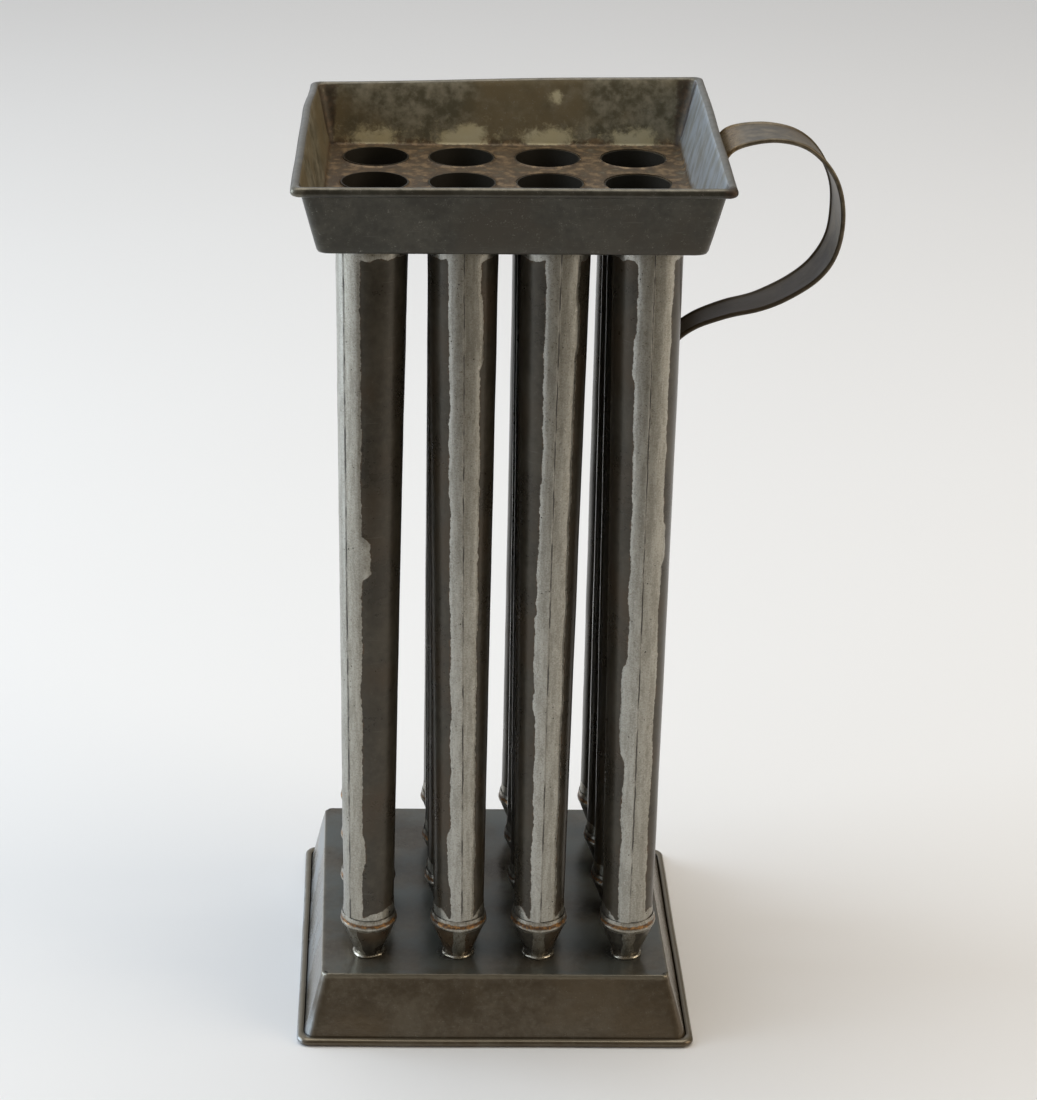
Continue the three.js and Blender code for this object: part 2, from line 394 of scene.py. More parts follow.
def tubeMaterial():
    finish = Finish("seamedTubeTin", 0.45, {
        "Dark": (0.044, 0.037, 0.026, 1), "Light": (0.072, 0.062, 0.045, 1),
        "Brown": (0.066, 0.049, 0.031, 1), "Cloud": 18.0, "Specks": 0.2, "Rough": 0.3})
    tree = finish.tree
    edge = mark(tree, "solderEdge")
    halo = maths(tree, "SUBTRACT", 0.62, times(tree, maths(tree, "ABSOLUTE", edge), 0.55))
    finish.stain(halo, grain=2.2, deep=(0.05, 0.03, 0.018, 1), bright=(0.12, 0.065, 0.03, 1),
                 strength=0.75, rough=0.55)
    metal = useGroup(tree, solder, Pale=(0.425, 0.413, 0.37, 1), Dull=(0.3, 0.287, 0.25, 1),
                     Pits=0.9, Rough=0.34)
    across = mark(tree, "seamAcross")
    side = span(tree, across, -0.5, 0.5)
    shade = times(tree, side, 0.6)
    tinted = mixColour(tree, shade, metal["Color"], (0.86, 0.83, 0.78, 1), "MULTIPLY")
    mask = raggedMask(tree, edge, 1.0, 1.1, 0.09)
    finish.layer(mask, tinted, metal["Roughness"], metal["Height"], 0.9)
    wander = times(tree, maths(tree, "SUBTRACT", grainy(tree, millimetres(tree), 4.0), 0.5), 0.5)
    line = maths(tree, "ABSOLUTE", maths(tree, "ADD", across, wander))
    lineMask = span(tree, line, 0.08, 0.34, 1.0, 0.0)
    broken = span(tree, grainy(tree, millimetres(tree, (1, 1, 0.35)), 3.0), 0.4, 0.56, 0.25, 1.0)
    finish.layer(times(tree, lineMask, broken), (0.05, 0.045, 0.04, 1), 0.5, None, 0.3)
    joint = useGroup(tree, rust, Amount=mark(tree, "rustLine"), Grain=1.3,
                     Deep=(0.06, 0.032, 0.016, 1), Bright=(0.3, 0.13, 0.04, 1))
    finish.layer(joint["Mask"], joint["Color"], 0.6, None, 0.2)
    finish.layer(mark(tree, "bore"), (0.042, 0.038, 0.03, 1), 0.42, None, 0.45)
    return finish.close(0.12)


def tipMaterial():
    finish = Finish("coneTipTin", 0.5, {
        "Dark": (0.045, 0.04, 0.032, 1), "Light": (0.1, 0.09, 0.07, 1),
        "Brown": (0.1, 0.065, 0.035, 1), "Cloud": 6.0, "Specks": 0.3, "Rough": 0.3})
    tree = finish.tree
    mask = raggedMask(tree, mark(tree, "solderEdge"), 0.8, 1.4, 0.12)
    finish.wipe(mask, pale=(0.4, 0.38, 0.33, 1), dull=(0.24, 0.22, 0.18, 1), pits=0.5, rough=0.34, metal=0.9)
    joint = useGroup(tree, rust, Amount=mark(tree, "rustLine"), Grain=1.3,
                     Deep=(0.07, 0.035, 0.016, 1), Bright=(0.4, 0.2, 0.06, 1))
    finish.layer(joint["Mask"], joint["Color"], 0.4, None, 0.4)
    return finish.close(0.12)


def brightSolderMaterial():
    finish = Finish("brightSolder", 0.9, {
        "Dark": (0.2, 0.18, 0.14, 1), "Light": (0.4, 0.37, 0.3, 1),
        "Brown": (0.2, 0.15, 0.09, 1), "Cloud": 3.0, "Specks": 0.3, "Rough": 0.26})
    finish.wipe(0.7, pale=(0.55, 0.52, 0.45, 1), dull=(0.3, 0.27, 0.21, 1), pits=0.4, rough=0.24)
    return finish.close(0.2)


def baseMaterial():
    finish = Finish("basePanTin", 0.5, {
        "Dark": (0.088, 0.067, 0.043, 1), "Light": (0.135, 0.111, 0.078, 1),
        "Brown": (0.112, 0.084, 0.052, 1), "Cloud": 20.0, "Specks": 0.5, "Rough": 0.18})
    tree = finish.tree
    point = millimetres(tree)
    plateTop = baseHigh.z / mm
    # painted bluish sheen on the top of the plate, in cloudy patches
    upper = span(tree, axisOf(tree, point, "Z"), plateTop - 0.9, plateTop - 0.2)
    cloudy = span(tree, grainy(tree, point, 24.0, 5.0), 0.36, 0.64, 0.1, 0.72)
    coolSheenPatches = times(tree, upper, cloudy)
    finish.layer(coolSheenPatches, (0.115, 0.132, 0.125, 1), 0.26)
    facing = axisOf(tree, addNode(tree, "ShaderNodeNewGeometry").outputs["Normal"], "X")
    leftFacingSheen = times(tree, span(tree, facing, -0.35, -0.7), cloudy)
    finish.layer(leftFacingSheen, (0.36, 0.39, 0.41, 1), 0.4, None, 0.6)    # painted bluish sheen, in patches, on faces turned to the left
    # fold crest and upper bead lighter: wear and a painted highlight line
    wornAndHighlit = raggedMask(tree, mark(tree, "foldWearAndHighlight"), 1.2, 3.0, 0.5)
    finish.layer(times(tree, wornAndHighlit, 0.6), (0.24, 0.21, 0.155, 1), 0.28, None, 0.7)
    # darkening in the crease above the bead and round each tip's foot: painted shade and grime
    finish.stain(mark(tree, "creaseDirtAndShade"), grain=2.0, deep=(0.02, 0.016, 0.012, 1),
                 bright=(0.06, 0.04, 0.025, 1), strength=0.75, rough=0.6)
    return finish.close(0.14)


def trayMaterial():
    finish = Finish("trayTin", 0.4, {
        "Dark": (0.036, 0.033, 0.024, 1), "Light": (0.07, 0.065, 0.05, 1),
        "Brown": (0.05, 0.042, 0.029, 1), "Cloud": 12.0, "Specks": 0.75, "Rough": 0.34})
    tree = finish.tree
    point = millimetres(tree)
    inside = mark(tree, "waxSide")
    inner = useGroup(tree, patina, Dark=(0.118, 0.105, 0.066, 1), Light=(0.3, 0.27, 0.195, 1),
                     Brown=(0.19, 0.15, 0.084, 1), Cloud=6.0, Specks=1.2, Rough=0.42)
    finish.layer(inside, inner["Color"], inner["Roughness"], inner["Height"])
    # lighter bluish inner right wall: bare tin with a painted bluish sheen
    streaks = grainy(tree, millimetres(tree, (1, 1, 0.45)), 5.0, 5.0, 0.65)
    bareAndSheen = times(tree, mark(tree, "bareTinAndSheen"), span(tree, streaks, 0.34, 0.62, 0.35, 1.0))
    finish.layer(bareAndSheen, (0.43, 0.46, 0.485, 1), 0.42, None, 0.6)
    floorRust = useGroup(tree, rust, Amount=mark(tree, "floorRust"), Grain=3.4,
                         Deep=(0.07, 0.046, 0.025, 1), Bright=(0.225, 0.155, 0.085, 1))
    finish.layer(floorRust["Mask"], floorRust["Color"], 0.5)
    waxGrain = maths(tree, "SUBTRACT", grainy(tree, point, 2.6, 6.0, 0.75, 0.6), 0.5)
    waxLevel = maths(tree, "ADD", mark(tree, "waxSplash"), times(tree, waxGrain, 1.5))
    waxMask = times(tree, span(tree, waxLevel, 0.3, 0.8), 0.9)
    waxTone = mixColour(tree, grainy(tree, point, 7.0), (0.5, 0.42, 0.22, 1), (0.56, 0.52, 0.37, 1))
    finish.layer(waxMask, waxTone, 0.55, None, 0.1)
    # lighter bead top and front left corner: wear and a painted highlight
    wornAndHighlit = raggedMask(tree, mark(tree, "foldWearAndHighlight"), 1.0, 3.0, 0.4)
    finish.layer(times(tree, wornAndHighlit, 0.5), (0.26, 0.24, 0.19, 1), 0.28, None, 0.8)
    # painted shade under the bead, darker inside corners, and rust at the front right corner
    finish.stain(mark(tree, "creaseDirtAndShade"), grain=2.0, deep=(0.025, 0.016, 0.01, 1),
                 bright=(0.08, 0.045, 0.025, 1), strength=0.8, rough=0.6)
    return finish.close(0.12)


def strapMaterial():
    finish = Finish("strapTin", 0.5, {
        "Dark": (0.074, 0.058, 0.035, 1), "Light": (0.188, 0.155, 0.105, 1),
        "Brown": (0.099, 0.071, 0.039, 1), "Cloud": 9.0, "Specks": 0.6, "Rough": 0.4})
    tree = finish.tree
    finish.stain(mark(tree, "creaseDirtAndShade"), grain=1.5, deep=(0.02, 0.016, 0.012, 1),
                 bright=(0.06, 0.045, 0.03, 1), strength=0.8, rough=0.6)
    lower = span(tree, axisOf(tree, millimetres(tree), "Z"), 262.0, 222.0)    # painted shade, darker lower down
    finish.layer(times(tree, lower, 0.85), (0.045, 0.03, 0.014, 1), 0.5, None, 0.1)
    patch = raggedMask(tree, mark(tree, "solderEdge"), 5.0, 4.0, 3.0)
    finish.wipe(patch, pale=(0.26, 0.19, 0.1, 1), dull=(0.13, 0.085, 0.04, 1), pits=0.3, rough=0.45)
    return finish.close(0.12)


def wireMaterial():
    finish = Finish("rimWireIron", 0.7, {
        "Dark": (0.04, 0.036, 0.03, 1), "Light": (0.08, 0.075, 0.065, 1),
        "Brown": (0.09, 0.055, 0.03, 1), "Cloud": 5.0, "Specks": 0.2, "Rough": 0.45})
    rusty = useGroup(finish.tree, rust, Amount=0.3, Grain=4.0)
    finish.layer(rusty["Mask"], rusty["Color"], 0.7)
    return finish.close(0.1)


tubeTin, tipTin, brightSolder = tubeMaterial(), tipMaterial(), brightSolderMaterial()
baseTin, trayTin, strapTin, wireIron = baseMaterial(), trayMaterial(), strapMaterial(), wireMaterial()
print("materials ready")


# tubes
tubeLook = {
    "sheet": 0.4,
    "bottomRadius": 7.9,
    "topRadius": 10.4,
    "frontSeams": (224, 274, 275, 275),    # degrees, columns 1 to 4 of the front row
    "frontSolder": ((33, 31), (25, 29), (24, 34), (26, 36)),    # degrees of solder each side of the seam
    "backSolder": (27, 30),
    "seamTurnPerRow": 74,
    "seamTwist": 6,                        # degrees that a seam wanders over the length below
    "twistMiddle": 150, "twistLength": 225,
    "bandWave": 0.6,
    "bulges": {                            # side, height, length and extra width of a solder run
        (1, 1): ((1, 163, 13, 2.7), (1, 62, 12, 0.6)),
        (1, 2): ((-1, 60, 20, 1.0), (1, 235, 22, 0.8)),
        (1, 3): ((-1, 128, 34, 0.8), (1, 236, 16, 0.9)),
        (1, 4): ((-1, 112, 32, 1.7), (1, 168, 13, 1.4), (-1, 228, 14, 0.8)),
    },
    "solderThick": 0.2,
    "footLean": {(1, 1): -0.2, (1, 2): 1.2, (1, 3): -0.4, (1, 4): 0.6},
    "topLean": (0.3, -0.4, -0.9, -1.2),    # sideways lean at the top, columns 1 to 4
    "footSkewPerRow": -0.85,               # each row behind stands a little further to the left
    "rings": 190, "innerRings": 12,
    "filletDrop": 3.2,                     # how far the tray's solder runs down the tube
    "jointDrop": 0.4,                      # the joint line below the top of the tip
}
# distances from the seam where the tube wall has points, in millimetres
acrossSteps = [0, 0.12, 0.25, 0.45, 0.8, 1.3, 1.9, 2.5, 3.0, 3.45, 3.9, 4.35, 4.8, 5.25, 5.7, 6.2, 6.8, 7.6,
               8.8, 10.4, 12.4, 14.8, 17.4, 20.2]


def footShift(row, column):    # handwork: some tubes stand a little off the grid at the foot
    lean = tubeLook["footLean"].get((row, column))
    if lean is None:
        sideways = tubeLook["footSkewPerRow"] * (row - 1) + 0.5 * ripple(row * 3.1, column * 1.7)
        return Vector((sideways, 0.5 * ripple(column * 2.3, row * 4.1, 5), 0))
    return Vector((lean, 0.15 * ripple(column * 5.3, 2.2), 0))


def topShift(row, column):    # and lean a little at the top
    return Vector((tubeLook["topLean"][column - 1] * (1.15 - 0.15 * row), 0, 0))


def seamAngle(row, column, z):
    hand = copysign(1, ripple(row * 3.3, column * 2.1) + 0.2)
    twist = tubeLook["seamTwist"] * (tubeLook["twistMiddle"] - z) / tubeLook["twistLength"] * hand
    return radians(tubeLook["frontSeams"][column - 1] + (row - 1) * tubeLook["seamTurnPerRow"] + twist)


def solderSides(row, column, z):    # how far the solder spreads each side of the seam, in millimetres
    reach = tubeLook["frontSolder"][column - 1] if row == 1 else tubeLook["backSolder"]
    sides = [radians(angle) * tubeRadius(z) for angle in reach]
    for side, height, length, extra in tubeLook["bulges"].get((row, column), ()):
        inside = length / 2 - abs(z - height)
        sides[0 if side < 0 else 1] += extra * smoothStep(-1.2, 1.6, inside)
    return sides


def tubeRadius(z):
    share = (z - tubeLow) / (tubeHigh - tubeLow)
    return tubeLook["bottomRadius"] + share * (tubeLook["topRadius"] - tubeLook["bottomRadius"])


def solderReach(across, z, sides, seed, jointZ, trayZ):   # distance inside the soldered area
    half = (sides[0] + sides[1]) / 2
    wave = tubeLook["bandWave"]
    leftEdge = sides[0] + wave * ripple(z / 13, seed, 1) + 0.35 * ripple(z / 3.1, seed, 7)
    rightEdge = sides[1] + wave * ripple(z / 14, seed, 3) + 0.35 * ripple(z / 2.7, seed, 9)
    band = min(across + leftEdge, rightEdge - across)
    farther = smoothStep(half * 0.9, half * 1.8, abs(across))
    lunette = 2.2 + 2.6 * farther + 2.2 * ripple(across / 6, seed, 12)
    foot = jointZ + lunette - z
    underTray = trayZ + 0.2 - z
    fillet = min(z - (trayZ - tubeLook["filletDrop"] - 1.3 * ripple(across / 3.2, seed, 15)), underTray)
    return max(min(band, underTray), foot, fillet)


def buildTube(row, column):
    seed = row * 7.31 + column * 3.77
    low, high = tubeLow, tubeHigh
    jointZ = boxes[f"tip_r{row}_c{column}"][1].z / mm - tubeLook["jointDrop"]
    trayZ = trayLow.z / mm
    foot = place(row, column) + footShift(row, column)
    top = place(row, column) + topShift(row, column)
    sheet = tubeLook["sheet"]
    girth = 2 * pi * (tubeLook["bottomRadius"] + tubeLook["topRadius"]) / 2
    shares = [s / girth for s in acrossSteps]
    shares = [-s for s in reversed(shares[1:])] + shares + [0.4, 0.44, 0.48, 0.52, 0.56, 0.6]
    shares = sorted(set(round(s % 1.0, 6) for s in shares))
    points, edge, seam, line, bore = [], [], [], [], []

    def addRing(z, isOuter):
        share = (z - low) / (high - low)
        radius = tubeRadius(z)
        length = 2 * pi * radius
        bow = 0.35 * sin(pi * share)
        centre = foot.lerp(top, share) + Vector((bow * ripple(seed, 2), bow * ripple(seed, 5), 0))
        sides = solderSides(row, column, z)
        turn = seamAngle(row, column, z)
        for s in shares:
            across = (s if s <= 0.5 else s - 1) * length
            reach = solderReach(across, z, sides, seed, jointZ, trayZ)
            angle = turn + s * 2 * pi
            distance = radius - sheet
            if isOuter:
                lap = smoothStep(-7.0, -0.6, across) * smoothStep(0.35, 0.05, across) if across < 0.35 else 0
                lumps = 0.06 * ripple(across / 2.6, z / 7.0, seed)
                lumps += 0.015 * ripple(across / 0.9, z / 1.6, seed)
                coat = smoothStep(-0.1, 0.9, reach) * (tubeLook["solderThick"] + lumps)
                groove = 0.14 * exp(-(across / 0.22) ** 2)
                dent = 0.1 * ringRipple(angle, 1.1, z / 21 + seed)
                distance = radius + 0.22 * lap + coat - groove + dent
            points.append(roundPoint(centre, angle, distance, z))
            edge.append(reach if isOuter else -3.0)
            hand = 1 if across >= 0 or across < -12 else -1
            seam.append(min(abs(across), 12.0) * hand if isOuter else 9.0)
            patchy = 0.74 + 0.4 * ringRipple(angle, 1.6, seed + 2)
            line.append(patchy * exp(-((z - jointZ) / 0.8) ** 2) if isOuter else 0.0)
            bore.append(0.0 if isOuter else 0.85)

    count, innerCount = tubeLook["rings"], tubeLook["innerRings"]
    for i in range(count + 1):
        addRing(low + (high - low) * i / count, True)
    for i in range(innerCount + 1):
        addRing(high - (high - low) * i / innerCount, False)
    faces = ringFaces(count + innerCount + 2, len(shares), loop=True)
    marks = {"solderEdge": edge, "seamAcross": seam, "rustLine": line, "bore": bore}
    piece = meshPiece(f"tubeRolled_r{row}_c{column}", points, faces, marks, sharpAngle=60)
    dress(piece, tubeTin, "tube_tinplate", f"tube_r{row}_c{column}")


for row, column in gridNames():
    buildTube(row, column)
print("tubes rolled and soldered")


# cone tips and the solder collars they stand in
tipLook = {
    "sides": 64,
    "outline": (                       # radius and height, up the outside from neck to mouth
        (2.9, 20.2), (2.9, 22.1), (4.1, 22.5), (4.35, 23.4), (5.3, 25.6), (6.4, 28.4), (7.5, 31.2),
        (8.25, 33.2), (8.5, 33.9), (8.86, 34.3), (8.98, 34.8), (8.9, 35.3), (8.62, 35.65), (8.6, 35.95),
        (8.72, 36.3), (8.6, 36.9), (8.42, 37.6),
    ),
    "inside": ((8.3, 37.6), (8.3, 33.7), (1.5, 23.2), (1.5, 20.2)),
    "streakHalf": 1.9, "mouthHeight": 33.7, "rustHeight": 35.85,
}
collarLook = {"radius": 4.25, "thick": 0.75, "height": 22.45, "sides": 44, "around": 12}


def buildTip(row, column):
    seed = row * 5.13 + column * 9.71
    centre = place(row, column) + footShift(row, column)
    turn = seamAngle(row, column, 30.0) + 0.35 * ripple(seed, 8)
    sides = tipLook["sides"]
    points, edge, line = [], [], []
    outline = tipLook["outline"] + tipLook["inside"]
    outerCount = len(tipLook["outline"])
    for number, (radius, z) in enumerate(outline):
        isOuter = number < outerCount
        for k in range(sides):
            angle = turn + 2 * pi * k / sides
            across = (k if k <= sides / 2 else k - sides) / sides * 2 * pi * radius
            wobble = 0.09 * ringRipple(angle, 2.4, seed + z / 4) if isOuter else 0
            streak = tipLook["streakHalf"] + 0.7 * ripple(z / 3, seed, 4) - abs(across)
            lip = z - (tipLook["mouthHeight"] + 0.8 * ringRipple(angle, 2, seed + 3))
            reach = max(streak, lip) if isOuter else -2
            coat = 0.16 * smoothStep(-0.1, 0.8, streak) if 23 < z < 34 and isOuter else 0
            distance = radius + wobble + coat
            points.append(roundPoint(centre, angle, distance, z))
            edge.append(reach)
            spread = 0.34 + 0.2 * ringRipple(angle, 1.5, seed + 11)
            above = (z - tipLook["rustHeight"]) / (0.45 + spread)
            line.append((0.62 + spread) * exp(-above ** 2) if isOuter else 0.5)
    faces = ringFaces(len(outline), sides, loop=True)
    marks = {"solderEdge": edge, "rustLine": line}
    piece = meshPiece(f"tipCone_r{row}_c{column}", points, faces, marks, sharpAngle=50)
    dress(piece, tipTin, "tip_tinplate", f"tip_r{row}_c{column}")


def buildCollar(row, column):
    seed = row * 2.9 + column * 6.1
    centre = place(row, column) + footShift(row, column)
    sides, around = collarLook["sides"], collarLook["around"]
    points = []
    for k in range(sides):
        angle = 2 * pi * k / sides
        lump = 1 + 0.4 * ringRipple(angle, 1.6, seed)
        thick = collarLook["thick"] * lump
        radius = collarLook["radius"] + 0.3 * ringRipple(angle, 1, seed + 4)
        for j in range(around):
            turn = 2 * pi * j / around
            distance = radius + thick * cos(turn) * (1.15 if cos(turn) > 0 else 0.7)
            z = collarLook["height"] + thick * sin(turn) * 0.85
            points.append(roundPoint(centre, angle, distance, z))
    piece = meshPiece(f"collar_r{row}_c{column}", points, ringFaces(sides, around, loop=True))
    dress(piece, brightSolder, "tip_tinplate")


for row, column in gridNames():
    buildTip(row, column)
    buildCollar(row, column)
print("tips and collars set")


# pans: the pouring tray and the base, each one sheet folded up from a pierced plate
panLook = {"sheet": 0.45, "plateCorner": 2.5, "perSide": 48, "cornerSteps": 7, "curlSteps": 14}
trayLook = {
    "holeRadius": 10.48, "floorHalf": 56.0, "rimHalf": 63.0, "beadRadius": 1.4, "foldCorner": 3.0,
    "rimCorner": 2.0, "rows": 12,
    "splash": (0.78, 1.0, 0.95, 0.84),     # how much wax splashed up behind each column of holes
    "drip": (16, 14.5),                    # one old drip on the back wall: sideways and up from the floor
    "cornerPush": (1.3, -0.4, 0),          # handwork at the back left corner
}
baseLook = {
    "holeRadius": 3.3, "topHalf": 55.0, "rimHalf": 63.0, "beadRadius": 1.3, "foldCorner": 2.5,
    "rimCorner": 4.0, "rows": 12,
    "lean": (2.8, 1.2, 0.4),               # to the left: at the back, less at the foot, and everywhere
}


def perimeter(half, corner):    # points round a square with rounded corners, from the front left
    count, steps = panLook["perSide"], panLook["cornerSteps"]
    straight = half - corner
    points = []
    for side in range(4):
        turn = Matrix.Rotation(side * pi / 2, 2)
        for k in range(count):
            points.append(turn @ Vector((straight * (2 * k / count - 1), -half)))
        for k in range(steps):
            angle = pi / 2 * k / steps
            bend = Vector((straight + corner * sin(angle), -straight - corner * cos(angle)))
            points.append(turn @ bend)
    return points


def cellPerimeter(cell, perCell):    # points round one square grid cell, matching the plate's edge
    half = gridPitch / 2
    points = []
    for side in range(4):
        turn = Matrix.Rotation(side * pi / 2, 2)
        for k in range(perCell):
            points.append(cell + turn @ Vector((half * (2 * k / perCell - 1), -half)))
    return points


def softCorner(p):    # rounds the plate's four corners, leaving the rest alone
    corner, grid = panLook["plateCorner"], gridPitch * gridCount / 2
    if max(abs(p.x), abs(p.y)) > grid + 0.001 or min(abs(p.x), abs(p.y)) < grid - corner:
        return p
    middleOfBend = Vector((copysign(grid - corner, p.x), copysign(grid - corner, p.y)))
    way = p.xy - middleOfBend
    way *= max(abs(way.x), abs(way.y)) / max(way.length, 1e-6)
    return Vector((*(middleOfBend + way), p.z))


# walk tells the faces of the sheet apart: 0 on the shown side, 0.5 on the bead, 1 on the other side
class Pan:    # gathers the points and faces of one folded pan
    def __init__(self):
        self.points, self.faces, self.walk = [], [], []

    def addRings(self, rings, walks):
        first = len(self.points)
        for ring, walk in zip(rings, walks):
            self.points += [softCorner(p) for p in ring]
            self.walk += [walk] * len(ring)
        self.faces += ringFaces(len(rings), len(rings[0]), first=first)

    def addWalls(self, outline, walks):    # half width, height and corner radius of each ring
        self.addRings([[Vector((*p, z)) for p in perimeter(h, r)] for h, z, r in outline], walks)

    def addPlate(self, upperZ, lowerZ, holeRadius, holeAt, lipRise=0.0):
        perCell = panLook["perSide"] // gridCount
        for row, column in gridNames():
            cell = place(row, column).xy
            hole = holeAt(row, column).xy
            border = cellPerimeter(cell, perCell)
            circle = []
            for spot in border:
                way = spot - cell
                circle.append(hole + way.normalized() * holeRadius)
            rings, walks = [], []
            for z, walk, order in ((upperZ, 0.0, (1, 0.6, 0.3, 0.12, 0.04, 0)), (lowerZ, 1.0, (0, 0.3, 1))):
                for share in order:
                    lip = lipRise * max(0.0, 1 - share / 0.12) if walk == 0 else 0
                    rings.append([Vector((*c.lerp(b, share), z + lip)) for c, b in zip(circle, border)])
                    walks.append(walk)
            self.addRings(rings, walks)


def foldPan(look, levels, shift, outline, walks, lipRise=0.0):    # pierced plate and sides in one sheet
    upper, lower = levels
    grid = gridPitch * gridCount / 2
    pan = Pan()
    pan.addPlate(upper, lower, look["holeRadius"], lambda r, c: place(r, c) + shift(r, c), lipRise)
    pan.addWalls([(grid, upper, 0.0)] + outline + [(grid, lower, 0.0)], [0.0] + walks + [1.0])
    return pan


def curl(wireHalf, wireZ, radius, side):   # the sheet's two faces where it rolls round the wire
    inner = radius - panLook["sheet"] * 0.85
    steps = panLook["curlSteps"]
    turns = [radians(150 - 275 * k / steps) for k in range(steps + 1)]
    outerFace = [(wireHalf + radius * cos(a), wireZ + side * radius * sin(a)) for a in turns]
    wireFace = [(wireHalf + inner * cos(a), wireZ + side * inner * sin(a)) for a in turns]
    return outerFace, wireFace


def wallLine(start, end, count):
    return [(start[0] + (end[0] - start[0]) * k / count, start[1] + (end[1] - start[1]) * k / count)
            for k in range(count + 1)]


def nearestHole(x, y):
    return min((Vector((x, y)) - place(r, c).xy).length for r, c in gridNames())


def trayWarp(point):    # handwork: wavy walls and a back left corner pushed in
    half = trayLook["rimHalf"]
    rise = smoothStep(trayLow.z / mm, trayHigh.z / mm, point.z)
    wave = 0.5 * rise * ripple(point.x / 38, point.y / 38, 3.3)
    moved = point + Vector((point.x, point.y, 0)) / half * wave
    left = smoothStep(30, -half, point.x)
    back = smoothStep(20, half, point.y)
    right = (point.x + half) / (2 * half)
    moved += Vector(trayLook["cornerPush"]) * (left * back * rise)
    # the right side and the front rim stand a little higher
    moved.z += 0.9 * right + rise * (1.5 * right + (1.5 - 1.2 * right) * (1 - back) - 0.8 * left * back)
    return moved


def baseWarp(point):    # handwork: the pan leans to the left toward the back
    half = baseLook["rimHalf"]
    atBack, lessAtFoot, everywhere = baseLook["lean"]
    down = smoothStep(baseHigh.z / mm, 0, point.z)
    wave = 0.35 * down * ripple(point.x / 45, point.y / 45, 8.1)
    back = (point.y + half) / (2 * half)
    skew = -(atBack - lessAtFoot * down) * back - everywhere
    return point + Vector((point.x, point.y, 0)) / half * wave + Vector((skew, 0, 0))


def buildWire(name, half, z, radius, corner, warp, slot, node):
    points, around = [], 10
    for k in range(around):
        turn = 2 * pi * k / around
        ring = perimeter(half + radius * cos(turn), corner)
        points += [warp(Vector((*p, z + radius * sin(turn)))) for p in ring]
    piece = meshPiece(name, points, ringFaces(around, len(ring), loop=True), sharpAngle=50)
    dress(piece, wireIron, slot, node)


def buildTray():
    look, sheet = trayLook, panLook["sheet"]
    fold, rim, bead = look["foldCorner"], look["rimCorner"], look["beadRadius"]
    low, high = trayLow.z / mm, trayHigh.z / mm
    wireHalf = look["rimHalf"] - bead
    wireZ = high - bead
    outerFace, wireFace = curl(wireHalf, wireZ, bead, 1)
    floorHalf = look["floorHalf"]
    outline = [(floorHalf - sheet - 0.8, low + sheet, 2.2), (floorHalf - sheet, low + sheet + 0.5, 2.4)]
    innerWall = wallLine((floorHalf - sheet + 0.1, low + sheet + 1.0), outerFace[0], look["rows"])
    outline += [(h, z, 2.6) for h, z in innerWall]
    walks = [0.05] * len(outline)
    beadLine = outerFace[1:] + wireFace[::-1]
    outline += [(h, z, rim) for h, z in beadLine]
    walks += [0.5] * len(outerFace[1:]) + [0.6] * len(wireFace)
    outerWall = wallLine(wireFace[0], (floorHalf, low + 1.0), look["rows"])[1:]
    outline += [(h, z, fold) for h, z in outerWall]
    outline += [(floorHalf - 0.35, low + 0.3, fold), (floorHalf - 1.1, low, fold)]
    walks += [0.95] * (len(outerWall) + 2)
    pan = foldPan(look, (low + sheet, low), topShift, outline, walks, lipRise=0.3)
    marks = trayMarks(pan, low, high)
    points = [trayWarp(p) for p in pan.points]
    piece = meshPiece("trayFolded", points, pan.faces, marks, sharpAngle=50)
    dress(piece, trayTin, "tray_tinplate", "tray_pan")
    wireRadius = bead - sheet - 0.08
    buildWire("trayWire", wireHalf, wireZ, wireRadius, rim, trayWarp, "rim_wire", "tray_rim_wire")


